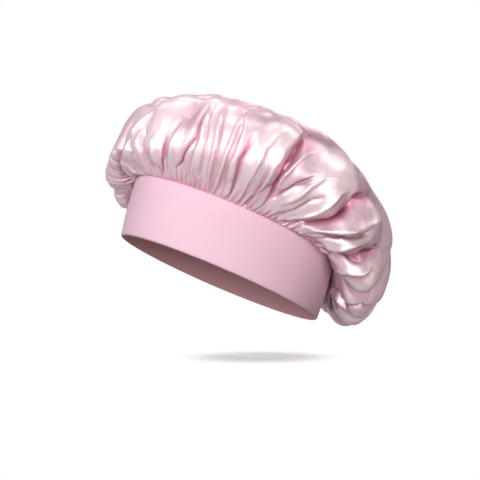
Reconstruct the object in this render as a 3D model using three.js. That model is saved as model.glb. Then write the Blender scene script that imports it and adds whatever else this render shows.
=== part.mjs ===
// Satin hair bonnet: a gathered crown seated on a folded stretch-knit band.
// Millimetres, +Z up. The bonnet stands on the band's bottom fold at z = 0.
// The forehead faces -Y, the nape +Y. The origin is the middle of the crown's footprint.

import * as THREE from 'three';

// Head opening, across the outside of the band's bottom fold
const rimLength = 204;
const rimWidth = 164;
const openingSetForward = 5;

// Band: one knit strip, folded double along its bottom edge
const bandHeight = 57;
const bandLengthGain = 4;
const bandWidthLoss = 4;
const bandForwardLean = 7;
const knitThickness = 1.2;
const knitPlyGap = 0.6;
const foldFlatInset = 0.7;
const foldRise = 0.9;
const foldFloor = 1.3;
const napeGrooveWidth = 2.4;
const napeGrooveDepth = 0.4;

// Seam between the crown and the band, with its allowance standing up inside the crown
const seamAllowance = 6;
const seamClearance = 0.5;
const threadClearance = 0.3;
const threadThickness = 0.6;
const overlockLegLift = 3;

// Thread of the band's join at the nape
const napeThreadWidth = 1.6;
const napeThreadThickness = 0.5;
const napeThreadEndGap = 2;

// Crown: one satin disc, gathered to the band
const satinThickness = 1;
const crownLength = 290;
const crownWidth = 228;
const crownHeight = 163;
const crownTopSetForward = 8;

// Height of the crown's widest line, round the head
const widestFront = 90;
const widestNear = 105;
const widestBack = 54;
const widestFar = 98;

// How the cloth leaves the seam, in degrees above the horizontal
const leaveFront = -62;
const leaveNear = 46;
const leaveBack = -76;
const leaveFar = 6;

// The full brow hangs a little to the far side of the forehead, by this many degrees
const browTurn = 46;

// How far the curve keeps its direction: off the seam, into the widest line, over it, and to the top
const seamPullFront = 46;
const seamPullSide = 26;
const seamPullBack = 62;
const underPullFront = 58;
const underPullNear = 20;
const underPullBack = 60;
const underPullFar = 24;
const overPullFront = 42;
const overPullNear = 38;
const overPullBack = 54;
const overPullFar = 42;
const topPullFront = 94;
const topPullNear = 76;
const topPullBack = 76;
const topPullFar = 80;

// Main folds of the gathered satin: crest to valley, and the long crease beside its fold
const foldDepth = 6;
const creaseDepth = 4;

// How the folds turn round the crown as they rise, in degrees
const foldLean = 29;
const foldFan = 48;

// The share of a fold's depth that lies below the even shape
const foldSinkShare = 0.55;

// The folds in order round the head from the forehead, near side first.
// Each has its share of the turn, of the fold depth and of the way up to the top, and its steps.
const foldShares = [
  { turn: 2.0, depth: 0.8, reach: 0.55, steps: 3 },
  { turn: 1.7, depth: 0.6, reach: 0.6, steps: 3 },
  { turn: 1.7, depth: 0.5, reach: 0.6, steps: 3 },
  { turn: 1.7, depth: 0.5, reach: 0.65, steps: 3 },
  { turn: 1.5, depth: 0.6, reach: 0.7, steps: 3 },
  { turn: 2.1, depth: 1.0, reach: 0.95, steps: 3 },
  { turn: 1.7, depth: 1.1, reach: 0.75, steps: 3 },
  { turn: 1.6, depth: 1.2, reach: 0.8, steps: 3 },
  { turn: 1.8, depth: 1.2, reach: 0.75, steps: 3 },
  { turn: 2.2, depth: 1.1, reach: 0.7, steps: 3 },
  { turn: 2.1, depth: 1.0, reach: 0.75, steps: 3 },
  { turn: 2.1, depth: 1.0, reach: 0.7, steps: 3 },
  { turn: 1.9, depth: 0.9, reach: 0.8, steps: 3 },
  { turn: 2.1, depth: 1.0, reach: 0.7, steps: 3 },
  { turn: 1.9, depth: 0.9, reach: 0.75, steps: 2 },
  { turn: 1.9, depth: 0.8, reach: 0.65, steps: 3 },
  { turn: 2.0, depth: 0.9, reach: 0.7, steps: 2 },
  { turn: 2.0, depth: 0.8, reach: 0.6, steps: 3 },
  { turn: 2.0, depth: 0.8, reach: 0.6, steps: 2 },
];

// The long crease on the near side follows this fold's leading edge
const creaseFold = 5;

// Where the rings of the crown lie, as shares of the way from the seam to the top
const widestShare = 0.36;
const ringShares = [0.045, 0.11, 0.19, 0.28, 0.38, 0.49, 0.61, 0.74, 0.87];

// Steps round the band and the seam
const bandSteps = 108;

const bandThickness = 2 * knitThickness + knitPlyGap;
const bandTop = bandHeight + seamAllowance;

// A value that runs from the forehead to the side, the nape and the other side
function round(angle, front, near, back, far = near) {
  const along = Math.cos(angle);
  const across = Math.sin(angle);
  const frontPart = along > 0 ? along * along : 0;
  const backPart = along < 0 ? along * along : 0;
  const nearPart = across > 0 ? across * across : 0;
  const farPart = across < 0 ? across * across : 0;
  return front * frontPart + near * nearPart + back * backPart + far * farPart;
}

// A point on an oval round the head; angle 0 is the forehead, a quarter turn the near side
function ovalPoint(angle, length, width, centreY, height) {
  return new THREE.Vector3(
    (width / 2) * Math.sin(angle),
    centreY - (length / 2) * Math.cos(angle),
    height,
  );
}

// A point of the band: so far inside its outer face, at this height
function bandPoint(angle, inward, height) {
  const up = height / bandHeight;
  const length = rimLength + bandLengthGain * up - 2 * inward;
  const width = rimWidth - bandWidthLoss * up - 2 * inward;
  return ovalPoint(angle, length, width, -openingSetForward - bandForwardLean * up, height);
}

// A closed body from one closed outline per angle
function ringBody(angles, outlineAt) {
  const outlines = angles.map(outlineAt);
  const count = outlines[0].length;
  const index = [];
  for (let i = 0; i < outlines.length; i += 1) {
    const here = i * count;
    const next = ((i + 1) % outlines.length) * count;
    for (let j = 0; j < count; j += 1) {
      const k = (j + 1) % count;
      index.push(here + j, next + j, next + k);
      index.push(here + j, next + k, here + k);
    }
  }
  return bodyGeometry(outlines.flat(), index);
}

// A closed body from one open outline per angle, which runs from one point on the top to another
function capBody(angles, outlineAt, firstPoint, lastPoint) {
  const outlines = angles.map(outlineAt);
  const count = outlines[0].length;
  const points = outlines.flat();
  const first = points.push(firstPoint) - 1;
  const last = points.push(lastPoint) - 1;
  const index = [];
  for (let i = 0; i < outlines.length; i += 1) {
    const here = i * count;
    const next = ((i + 1) % outlines.length) * count;
    index.push(first, here, next);
    for (let j = 0; j + 1 < count; j += 1) {
      index.push(here + j, next + j + 1, next + j);
      index.push(here + j, here + j + 1, next + j + 1);
    }
    index.push(here + count - 1, last, next + count - 1);
  }
  return bodyGeometry(points, index);
}

function bodyGeometry(points, index) {
  const geometry = new THREE.BufferGeometry();
  geometry.setAttribute('position', new THREE.Float32BufferAttribute(points.flatMap((p) => p.toArray()), 3));
  geometry.setIndex(index);
  geometry.computeVertexNormals();
  return geometry;
}

function evenAngles(count) {
  return Array.from({ length: count }, (_, i) => (2 * Math.PI * i) / count);
}

// Angles round the band, with three close steps for the join at the nape
function bandAngles() {
  const half = napeGrooveWidth / rimWidth;
  const angles = evenAngles(bandSteps).concat([Math.PI - half, Math.PI + half]);
  return angles.sort((a, b) => a - b);
}

// Band: a hairpin section, flat under the fold and open at the top, grooved where its ends join
function makeBand() {
  return ringBody(bandAngles(), (angle) => {
    const atJoin = Math.abs(angle - Math.PI) * rimWidth < napeGrooveWidth / 2;
    const groove = atJoin ? napeGrooveDepth : 0;
    const inside = bandThickness - groove;
    return [
      bandPoint(angle, groove, bandTop),
      bandPoint(angle, groove, foldRise),
      bandPoint(angle, foldFlatInset + groove, 0),
      bandPoint(angle, bandThickness - foldFlatInset - groove, 0),
      bandPoint(angle, inside, foldRise),
      bandPoint(angle, inside, bandTop),
      bandPoint(angle, bandThickness - knitThickness, bandTop),
      bandPoint(angle, bandThickness - knitThickness, foldFloor),
      bandPoint(angle, knitThickness, foldFloor),
      bandPoint(angle, knitThickness, bandTop),
    ].reverse();
  });
}

// Overlock thread: wraps the raw edges of the satin and of both knit plies
function makeOverlock() {
  const outside = -(seamClearance + satinThickness + threadClearance);
  const inside = bandThickness + threadClearance;
  const foot = bandHeight + overlockLegLift;
  const roof = bandTop + threadClearance;
  return ringBody(evenAngles(bandSteps), (angle) => [
    bandPoint(angle, outside - threadThickness, roof + threadThickness),
    bandPoint(angle, inside + threadThickness, roof + threadThickness),
    bandPoint(angle, inside + threadThickness, foot),
    bandPoint(angle, inside, foot),
    bandPoint(angle, inside, roof),
    bandPoint(angle, outside, roof),
    bandPoint(angle, outside, foot),
    bandPoint(angle, outside - threadThickness, foot),
  ]);
}

// Thread of the nape join: a narrow line of stitching in the groove on the band's inner face
function makeNapeThread() {
  const half = napeThreadWidth / rimWidth;
  const face = bandThickness - napeGrooveDepth + threadClearance;
  const heights = [napeThreadEndGap, bandHeight - napeThreadEndGap];
  const points = [];
  for (const height of heights) {
    points.push(bandPoint(Math.PI - half, face + napeGrooveDepth, height));
    points.push(bandPoint(Math.PI + half, face + napeGrooveDepth, height));
    points.push(bandPoint(Math.PI + half, face + napeGrooveDepth + napeThreadThickness, height));
    points.push(bandPoint(Math.PI - half, face + napeGrooveDepth + napeThreadThickness, height));
  }
  const index = [];
  for (const [a, b, c, d] of [[0, 3, 2, 1], [4, 5, 6, 7], [0, 1, 5, 4], [1, 2, 6, 5], [2, 3, 7, 6], [3, 0, 4, 7]]) {
    index.push(a, b, c, a, c, d);
  }
  return bodyGeometry(points, index);
}

// Middle of the satin's wall where it turns at the seam
function seamPoint(angle, height = bandHeight) {
  return bandPoint(angle, -(seamClearance + satinThickness / 2), height);
}

// Round the front, the low part of the crown follows the brow, which is turned to the far side
function browAngle(angle) {
  const ahead = Math.max(Math.cos(angle), 0);
  return angle + THREE.MathUtils.degToRad(browTurn) * ahead * ahead;
}

function leaveAngle(angle) {
  return THREE.MathUtils.degToRad(round(browAngle(angle), leaveFront, leaveNear, leaveBack, leaveFar));
}

// The crown's even shape under its folds: share 0 is the seam, share 1 the top
function crownCurve(angle) {
  const seam = seamPoint(angle);
  const widest = ovalPoint(
    angle,
    crownLength,
    crownWidth,
    0,
    round(angle, widestFront, widestNear, widestBack, widestFar),
  );
  const top = new THREE.Vector3(0, -crownTopSetForward, crownHeight - satinThickness / 2);
  const up = new THREE.Vector3(0, 0, 1);
  const out = widest.clone().sub(seam).setZ(0).normalize();
  const low = browAngle(angle);
  const leave = leaveAngle(angle);
  const leaving = out.clone().multiplyScalar(Math.cos(leave)).addScaledVector(up, Math.sin(leave));
  const lower = new THREE.CubicBezierCurve3(
    seam,
    seam.clone().addScaledVector(leaving, round(low, seamPullFront, seamPullSide, seamPullBack)),
    widest.clone().addScaledVector(up, -round(low, underPullFront, underPullNear, underPullBack, underPullFar)),
    widest,
  );
  const level = ovalPoint(angle, crownLength, crownWidth, 0, 0).normalize();
  const upper = new THREE.CubicBezierCurve3(
    widest,
    widest.clone().addScaledVector(up, round(angle, overPullFront, overPullNear, overPullBack, overPullFar)),
    top.clone().addScaledVector(level, round(angle, topPullFront, topPullNear, topPullBack, topPullFar)),
    top,
  );
  return (share) => (share < widestShare
    ? lower.getPoint(share / widestShare)
    : upper.getPoint((share - widestShare) / (1 - widestShare)));
}

// The way out of the even shape at a point, square to the cloth
function outward(angle, share) {
  const step = 0.004;
  const turn = 0.02;
  const curve = crownCurve(angle);
  const along = curve(Math.min(share + step, 1 - step)).sub(curve(Math.max(share - step, 0)));
  const across = crownCurve(angle + turn)(share).sub(crownCurve(angle - turn)(share));
  return across.cross(along).normalize();
}

// The steps round the crown: each has its angle, its share of the fold depth and its reach
function crownColumns() {
  const turns = foldShares.reduce((sum, fold) => sum + fold.turn, 0);
  const columns = [];
  let start = 0;
  foldShares.forEach((fold, number) => {
    for (let step = 0; step < fold.steps; step += 1) {
      const across = step / fold.steps;
      columns.push({
        angle: (2 * Math.PI * (start + fold.turn * across)) / turns,
        rise: (Math.sin(Math.PI * across) ** 0.7 - foldSinkShare) * fold.depth,
        reach: fold.reach,
        crease: number === creaseFold && step === 0,
      });
    }
    start += fold.turn;
  });
  return columns;
}

// Where a fold that starts at this angle lies at a share of the way up
function fanned(angle, share) {
  const turn = foldLean * Math.sin(angle) - foldFan * Math.sin(2 * angle);
  return angle + THREE.MathUtils.degToRad(turn) * share * (1 - share);
}

// How far a fold stands out at a share of the way up: none at the seam, most low down, none at its reach
function foldRiseAt(column, share) {
  const start = Math.min(share / ringShares[2], 1);
  const end = Math.max(1 - share / Math.max(column.reach, ringShares[0]), 0);
  const plump = Math.sqrt(end);
  return foldDepth * column.rise * start * plump;
}

function creaseAt(column, share) {
  if (!column.crease) {
    return 0;
  }
  const low = Math.min(share / ringShares[2], 1);
  const high = Math.max(1 - share / column.reach, 0) ** 0.5;
  return creaseDepth * low * high;
}

// One outline of the crown's wall, from the top down its outer side and back up its inner side
function crownOutline(column) {
  const half = satinThickness / 2;
  const curve = crownCurve(column.angle);
  const outer = [];
  const inner = [];
  for (const share of ringShares) {
    const leaning = fanned(column.angle, share);
    const onCurve = crownCurve(leaning)(share);
    const normal = outward(leaning, share);
    const rise = foldRiseAt(column, share) - creaseAt(column, share);
    outer.push(onCurve.clone().addScaledVector(normal, rise + half));
    inner.push(onCurve.clone().addScaledVector(normal, rise - half));
  }
  const seam = curve(0);
  const up = new THREE.Vector3(0, 0, 1);
  const out = curve(widestShare).sub(seam).setZ(0).normalize();
  const leave = leaveAngle(column.angle);
  const corner = (turn) => out.clone().multiplyScalar(Math.sin(turn)).addScaledVector(up, -Math.cos(turn));
  const between = (leave - Math.PI / 2) / 2;
  const mitre = half / Math.cos((leave + Math.PI / 2) / 2);
  return [
    ...outer.reverse(),
    seam.clone().addScaledVector(corner(leave), half),
    seam.clone().addScaledVector(corner(-Math.PI / 2), half),
    bandPoint(column.angle, -seamClearance, bandTop),
    bandPoint(column.angle, -(seamClearance + satinThickness), bandTop),
    seam.clone().addScaledVector(corner(between), -mitre),
    ...inner,
  ];
}

// Crown: the gathered satin, its edge tucked up behind the seam against the band
function makeCrown() {
  const columns = crownColumns();
  const half = satinThickness / 2;
  const top = crownCurve(0)(1);
  return capBody(
    columns,
    crownOutline,
    top.clone().setZ(top.z + half),
    top.clone().setZ(top.z - half),
  );
}

// Colours as photographed: pale pink satin, matte pink knit, deeper pink thread
const satin = new THREE.MeshStandardMaterial({ color: '#e8c4d0', roughness: 0.28, metalness: 0.05 });
const knit = new THREE.MeshStandardMaterial({ color: '#f6cfe0', roughness: 0.85, metalness: 0 });
const thread = new THREE.MeshStandardMaterial({ color: '#dda3b8', roughness: 0.7, metalness: 0 });

function piece(name, geometry, material) {
  const mesh = new THREE.Mesh(geometry, material);
  mesh.name = name;
  return mesh;
}

const bonnet = new THREE.Group();
bonnet.name = 'hair_bonnet';
bonnet.add(piece('satin_crown', makeCrown(), satin));
bonnet.add(piece('knit_band', makeBand(), knit));
bonnet.add(piece('overlock_thread', makeOverlock(), thread));
bonnet.add(piece('nape_join_thread', makeNapeThread(), thread));

export default bonnet;
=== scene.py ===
import math

import bpy
import numpy as np
from mathutils import Matrix, Vector


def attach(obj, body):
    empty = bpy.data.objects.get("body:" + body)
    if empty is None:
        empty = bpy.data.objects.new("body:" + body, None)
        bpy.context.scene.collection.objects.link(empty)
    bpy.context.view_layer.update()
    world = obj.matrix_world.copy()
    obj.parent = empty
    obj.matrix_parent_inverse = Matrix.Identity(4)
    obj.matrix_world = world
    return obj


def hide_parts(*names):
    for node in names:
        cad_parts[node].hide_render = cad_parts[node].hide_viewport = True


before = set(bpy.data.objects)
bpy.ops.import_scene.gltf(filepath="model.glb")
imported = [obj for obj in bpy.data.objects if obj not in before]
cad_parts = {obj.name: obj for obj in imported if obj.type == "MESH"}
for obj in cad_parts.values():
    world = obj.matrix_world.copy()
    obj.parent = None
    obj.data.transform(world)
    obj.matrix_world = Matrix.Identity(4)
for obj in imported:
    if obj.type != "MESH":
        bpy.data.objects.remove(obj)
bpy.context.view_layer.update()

# The bonnet's sizes, in millimetres and degrees. The forehead faces -Y and the nape +Y.
# Angles go round the head from the forehead, and grow towards the side that shows.
MM = 0.001

RIM_LENGTH, RIM_WIDTH = 204.0, 164.0
RIM_SET_FORWARD = 5.0
BAND_HEIGHT = 57.0
BAND_LENGTH_GAIN, BAND_WIDTH_LOSS = 4.0, 4.0
BAND_FORWARD_LEAN = 7.0
KNIT_THICKNESS, KNIT_PLY_GAP = 1.2, 0.6
BAND_DEPTH = KNIT_THICKNESS * 2 + KNIT_PLY_GAP

CROWN_LENGTH, CROWN_WIDTH, CROWN_HEIGHT = 290.0, 228.0, 163.0
CROWN_TOP_SET_FORWARD = 8.0
SATIN_OFF_KNIT, SATIN_UNDER_TOP = 0.4, 0.5

# Each row: at the forehead, on the near side, at the nape, on the far side
WIDEST_LINE = (90.0, 105.0, 54.0, 98.0)
LEAVE_SEAM = (-62.0, 46.0, -76.0, 6.0)
SEAM_PULL = (46.0, 26.0, 62.0, 26.0)
UNDER_PULL = (58.0, 20.0, 60.0, 24.0)
OVER_PULL = (42.0, 38.0, 54.0, 42.0)
TOP_PULL = (94.0, 76.0, 76.0, 80.0)
# How far the brow's tuck is turned round the head, and where on the way to the top the widest line lies
BROW_TURN = 46.0
WIDEST_SHARE = 0.36

# The satin was cut as an oval, the band as a strip: metres across by metres long
SATIN_CUT = (0.44, 0.56)
KNIT_CUT = (0.126, 0.576)

# The crown's mesh, whose rows lie closer together at the seam; the settling cloth has half as many steps
# each way. Lengths are measured in finer steps, and creases are sharpened between these rows.
CROWN_COLUMNS, CROWN_ROWS = 720, 131
LAST_ROW_SHARE = 0.985
EVEN_ROWS_SHARE, CROWDED_ROWS_SHARE = 0.55, 0.45
SEAM_STEPS, CURVE_STEPS = 2048, 400
CRISP_STEP, CRISP_PASSES, CRISPNESS = 2, 3, 0.7
CRISP_START, CRISP_END = (0.0, 0.05), (0.75, 0.95)

# The settling: the cut's folds are fuller than the crown's. The cloth may move a little at the seam, and
# gains the rest of its travel along the shares after it.
CUT_FULLNESS = 1.2
CLOTH_STEPS = 22
HELD_ROWS = 3
SEAM_CLOTH_TRAVEL, CLOTH_TRAVEL_GAIN = 0.3, 2.6
CLOTH_TRAVEL_RISE = (0.0, 0.2)
CLOTH_SOFTENING = 3
CLOTH_SETTINGS = {
    "quality": 5, "mass": 1e-5, "air_damping": 3, "pin_stiffness": 5,
    "tension_stiffness": 5, "compression_stiffness": 5, "shear_stiffness": 1.5, "bending_stiffness": 0.03,
    "tension_damping": 5, "compression_damping": 5, "shear_damping": 5, "bending_damping": 0.5,
    "use_pressure": True, "uniform_pressure_force": 8,
}

# Main folds in order round the head from the forehead, near side first:
# tens of degrees round, share of the depth, and how far up the crown they reach
MAIN_FOLD_DEPTH = 6.0
MAIN_FOLD_SINK = 0.5
MAIN_FOLD_ROUNDNESS = 1.4
MAIN_FOLD_UNIT = 10.0
MAIN_FOLD_FADE = (0.60, 0.88)
MAIN_FOLDS = (
    (2.0, 0.8, 0.55), (1.7, 0.4, 0.45), (1.7, 0.3, 0.45), (1.7, 0.4, 0.60), (1.5, 0.6, 0.70),
    (2.1, 1.0, 0.95), (1.7, 1.1, 0.75), (1.6, 1.2, 0.80), (1.8, 1.2, 0.75), (2.2, 1.1, 0.70),
    (2.1, 1.0, 0.75), (2.1, 1.0, 0.70), (1.9, 0.9, 0.80), (2.1, 1.0, 0.70), (1.9, 0.9, 0.75),
    (1.9, 0.8, 0.65), (2.0, 0.9, 0.70), (2.0, 0.8, 0.60), (2.0, 0.8, 0.60),
)
# How the folds fan out over the crown, in degrees, and how often the place under a fold is worked out
FOLD_LEAN, FOLD_FAN = 29.0, 48.0
FAN_ROUNDS = 12

# Creases that show best. A path's points are (share of the way from seam to top, angle round the head).
# depth and width are in millimetres; the width is half of the crease's.
# steep is the side where the cloth stands steeply over the crease: -1 towards the forehead,
# 1 towards the nape and 0 for neither. lap is how far that side folds over, as a share of the depth,
# and cusp is how sharp the bottom is: 1 is sharp and 2 is round.
USUAL_LAP, USUAL_CUSP = 0.2, 1.1
NAMED_CREASES = (
    {"path": ((0.02, -6), (0.07, 6), (0.13, 15), (0.21, 15), (0.32, 19), (0.37, 28), (0.42, 40),
              (0.47, 54), (0.48, 68), (0.45, 82)),
     "depth": 10.0, "width": 8.0, "steep": 1, "lap": 0.0, "cusp": 1.8},
    {"path": ((0.00, 16), (0.10, 20), (0.20, 17)), "depth": 2.4, "width": 3.0, "steep": 1},
    {"path": ((0.00, 23), (0.04, 23), (0.13, 27), (0.24, 21)), "depth": 4.0, "width": 3.4, "steep": 1},
    {"path": ((0.00, 34), (0.10, 35), (0.24, 30)), "depth": 4.0, "width": 3.0, "steep": 1},
    {"path": ((0.00, 40), (0.12, 43), (0.22, 43)), "depth": 4.0, "width": 2.8, "steep": -1},
    {"path": ((0.05, 49), (0.12, 52), (0.24, 55), (0.44, 54)), "depth": 4.2, "width": 1.5, "steep": -1},
    {"path": ((0.00, 55), (0.14, 57), (0.32, 56)), "depth": 2.2, "width": 2.6, "steep": 1},
    {"path": ((0.00, 62), (0.24, 61), (0.44, 56)), "depth": 2.0, "width": 2.8, "steep": -1},
    {"path": ((0.00, 68), (0.22, 66), (0.44, 62)), "depth": 2.0, "width": 2.8, "steep": -1},
    {"path": ((0.00, 72), (0.20, 70), (0.42, 70)), "depth": 1.8, "width": 2.6, "steep": -1},
    {"path": ((0.00, 78), (0.06, 77), (0.21, 74), (0.38, 76)), "depth": 4.8, "width": 3.6, "steep": -1},
    {"path": ((0.00, 88), (0.10, 87), (0.26, 84)), "depth": 2.6, "width": 2.6, "steep": 1},
    {"path": ((0.00, 93), (0.05, 93), (0.18, 90), (0.27, 89), (0.36, 90.5), (0.46, 93), (0.60, 100)),
     "depth": 4.4, "width": 4.0, "steep": -1},
    {"path": ((0.08, 95), (0.15, 94.5), (0.21, 96), (0.27, 100), (0.32, 107)),
     "depth": 3.6, "width": 5.0, "steep": -1},
    {"path": ((0.04, 101), (0.12, 102.5), (0.19, 103.5), (0.24, 107.5)),
     "depth": 4.0, "width": 4.0, "steep": -1},
    {"path": ((0.00, 105), (0.04, 107.5), (0.08, 112), (0.15, 114), (0.21, 115), (0.28, 117.5), (0.35, 119)),
     "depth": 6.0, "width": 4.4, "steep": -1},
    {"path": ((0.30, 116), (0.37, 123), (0.48, 136)), "depth": 6.0, "width": 9.0, "steep": -1},
    {"path": ((0.01, 120), (0.11, 120.5), (0.17, 121), (0.22, 126), (0.28, 130)),
     "depth": 5.0, "width": 3.4, "steep": -1},
    {"path": ((0.00, 137), (0.06, 133), (0.13, 129.5), (0.20, 131), (0.28, 138), (0.42, 157)),
     "depth": 7.0, "width": 4.6, "steep": -1},
    {"path": ((0.00, 150), (0.10, 146), (0.22, 150), (0.36, 163)), "depth": 3.0, "width": 4.0, "steep": 1},
    {"path": ((0.03, 176), (0.08, 167), (0.12, 160), (0.18, 154), (0.24, 160), (0.32, 171)),
     "depth": 6.0, "width": 4.4, "steep": -1},
)

# Ridges that catch the light: the same, but the cloth stands up along them
NAMED_RIDGES = (
    {"path": ((0.03, 15), (0.13, 24), (0.21, 25), (0.30, 29), (0.35, 38), (0.40, 49), (0.445, 62)),
     "depth": 4.0, "width": 7.0, "steep": 0},
    {"path": ((0.03, 30), (0.12, 31), (0.23, 28)), "depth": 2.4, "width": 4.0, "steep": 1},
    {"path": ((0.02, 38), (0.12, 39), (0.23, 38)), "depth": 2.6, "width": 3.6, "steep": 1},
    {"path": ((0.02, 46), (0.16, 47), (0.30, 48)), "depth": 2.4, "width": 4.2, "steep": -1},
    {"path": ((0.01, 58), (0.23, 59), (0.44, 54)), "depth": 3.2, "width": 3.4, "steep": -1},
    {"path": ((0.02, 66), (0.24, 64), (0.46, 59)), "depth": 3.2, "width": 3.2, "steep": -1},
    {"path": ((0.02, 70), (0.20, 69), (0.45, 68)), "depth": 3.0, "width": 3.0, "steep": -1},
    {"path": ((0.02, 75), (0.18, 72), (0.32, 72), (0.50, 68)), "depth": 3.4, "width": 4.0, "steep": -1},
    {"path": ((0.02, 83), (0.16, 81), (0.29, 81), (0.42, 86)), "depth": 3.0, "width": 4.2, "steep": 1},
    {"path": ((0.02, 90), (0.11, 88), (0.24, 86.5), (0.32, 87), (0.42, 90), (0.62, 102)),
     "depth": 3.6, "width": 4.6, "steep": 1},
    {"path": ((0.08, 95), (0.15, 92.5), (0.21, 91.5), (0.28, 92.5), (0.34, 95), (0.40, 99)),
     "depth": 3.0, "width": 3.2, "steep": 1},
    {"path": ((0.08, 97), (0.16, 99.5), (0.24, 101), (0.29, 103.5), (0.33, 110)),
     "depth": 3.2, "width": 4.2, "steep": 1},
    {"path": ((0.02, 104), (0.10, 107), (0.17, 109.5), (0.27, 111), (0.33, 116)),
     "depth": 4.2, "width": 3.8, "steep": 1},
    {"path": ((0.01, 116), (0.10, 116.5), (0.17, 119), (0.25, 125.5), (0.32, 131), (0.43, 140)),
     "depth": 4.6, "width": 4.2, "steep": 1},
    {"path": ((0.01, 126), (0.10, 124.5), (0.18, 126), (0.24, 130), (0.31, 133.5)),
     "depth": 3.8, "width": 4.0, "steep": 1},
    {"path": ((0.01, 143), (0.06, 141), (0.14, 136.5), (0.21, 138), (0.28, 147)),
     "depth": 4.2, "width": 4.4, "steep": 1},
    {"path": ((0.03, 180), (0.07, 173), (0.12, 166), (0.18, 163), (0.25, 171)),
     "depth": 3.6, "width": 4.0, "steep": 1},
)
# How far round the head a fold is worked out past its path, in degrees
FOLD_SPREAD = 24.0
# Shares of its own length where a fold swells, unless it comes from the seam, and where it fades
FROM_SEAM = 0.05
FOLD_SWELL, FOLD_FADE = (0.0, 0.3), (0.7, 1.0)
# Its width where it starts and what it gains along the way, then how far its two sides reach, in widths
WIDTH_AT_START, WIDTH_GAIN = 0.45, 0.6
STEEP_REACH, GENTLE_REACH = 0.6, 1.5
# How much a crease draws the cloth together and how far away from it, and where its lap begins, in widths
CREASE_DRAW, CREASE_DRAW_REACH, LAP_START = 0.20, 1.6, 0.7
DRAW_RISE = (0.0, 0.04)

# Smooth puffs: (share, angle, height, half length along the cloth, half width round the head)
PUFFS = (
    (0.40, 112, 2.0, 24, 18),
    (0.20, 97, 2.0, 22, 12),
    (0.44, 146, 2.5, 34, 22),
    (0.15, 145, 2.5, 22, 18),
    (0.25, 165, 2.0, 26, 20),
    (0.24, 36, 3.0, 30, 14),
)
# Hollows between the puffs, which are also given painted shade: (share, angle, depth, half length, half
# width)
HOLLOWS = (
    (0.485, 101, 2.5, 13, 22),
    (0.43, 130, 2.8, 17, 14),
    (0.37, 164, 2.4, 22, 17),
    (0.23, 98, 1.6, 14, 8),
    (0.30, 91, 1.2, 16, 6),
    (0.24, 115, 2.0, 11, 9),
    (0.19, 129, 1.6, 11, 8),
    (0.31, 50, 1.4, 20, 9),
    (0.43, 79, 1.4, 14, 9),
    (0.24, 8, 1.2, 30, 18),
)

# Chance folds: how many round the head, height (less than none for a crease), half width, where they end,
# and how much of their height they keep among the named folds of the near side
NEAR_SIDE, NEAR_SIDE_REACH = 68.0, 98.0
FOLD_FAMILIES = (
    {"count": 30, "height": -3.4, "width": 4.6, "ends": (0.40, 0.66), "near_share": 0.0},
    {"count": 34, "height": 2.6, "width": 3.6, "ends": (0.34, 0.60), "near_share": 0.0},
    {"count": 64, "height": -1.5, "width": 2.4, "ends": (0.12, 0.26), "near_share": 0.5},
    {"count": 76, "height": 1.1, "width": 2.2, "ends": (0.08, 0.22), "near_share": 0.6},
)
# How far chance takes them: off their even step as a share of it, slanted and bent in degrees, then
# shares of their height and width, and the places along a fold where its path has points
FOLD_STRAY, FOLD_SLANT, FOLD_BEND = 0.34, 9.0, 4.0
FOLD_HEIGHT_SHARES, FOLD_WIDTH_SHARES = (0.6, 1.3), (0.75, 1.3)
FOLD_PATH_SHARES = (0.0, 0.33, 0.67, 1.0)

# Soft unevenness of the cloth: patches round the head, patches from seam to top, height
RIPPLES = ((26, 7, 0.8), (52, 12, 0.25))
RIPPLE_SLANT = 2.5
RIPPLE_START, RIPPLE_FADE = (0.0, 0.12), (0.55, 0.85)
# The level that the folds stay on has fewer waves round the head than this
LEVEL_WAVES = 9
# How the folds rise from the seam: share of the height, where that starts and where it ends
SEAM_RISE = ((0.40, 0.0, 0.03), (0.60, 0.01, 0.15))

# Tight gathers at the seam: how many, how high, and the shares of the way up where they start and fade
GATHERS = {"count": 128, "depth": 1.15, "wander": 2.2, "roundness": 0.8}
GATHER_START, GATHER_FADE = (0.0, 0.010), (0.02, 0.10)

# What the satin's painted shade follows: height over the even crown, deep in the valleys and paler on the
# crests, with the gathers counted more often, a painted dark line at the seam, and painted shade in the
# hollows, which from this depth on are as dark as they get
PAINTED_SHADE_RANGE = 16.0
GATHER_PAINTED_SHADE, SEAM_PAINTED_SHADE, SEAM_PAINTED_SHADE_END = 4.0, 4.0, 0.035
DARKEST_HOLLOW = 2.0
# The last share of the way, where the places marked for the materials close in on the top
TOP_CLOSING = 0.5

# The strip of knit: its outer edge over the seam, as (inward, above the seam), and half of its rounded
# fold, as (inward, height); its faces are straight from the fold's top to just below the seam
RAW_EDGE_RISE, INNER_EDGE_TURN = 5.0, 0.4
OUTER_EDGE = ((0.6, RAW_EDGE_RISE), (0.3, 1.5), (0.05, 0.2))
FOLD_CORNER = ((0.12, 1.1), (0.45, 0.35), (1.0, 0.05))
FOLD_TOP, BELOW_SEAM = 2.2, 1.0
OUTER_ROWS, INNER_ROWS, BAND_COLUMNS = 26, 12, 480
BAND_BULGE, BAND_UNEVENNESS, PUCKER_HEIGHT = 1.1, 0.10, 5.0

# Threads: how thick, then how many stitches or how far apart, and how far they reach past the knit,
# over the seam and round the head
OVERLOCK_THREAD, OVERLOCK_STITCHES, STITCH_STEPS = 0.45, 230, 8
OVERLOCK_PAST_PLY, OVERLOCK_MIDDLE, OVERLOCK_HALF = 0.9, 4.2, 1.9
NAPE_THREAD, NAPE_STITCH_STEP, NAPE_STITCH_RISE = 0.4, 2.6, 1.9
NAPE_STITCH_HALF_TURN, NAPE_STITCH_HUMP, NAPE_ROW_ENDS = 0.010, 0.35, 3.0

# The starts of the chance draws, and the most that a chance wave is shifted, nearly a whole turn
FOLD_CHANCE, GATHER_CHANCE, KNIT_CHANCE = 11, 5, 8
WAVE_SHIFT = 6.28

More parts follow.
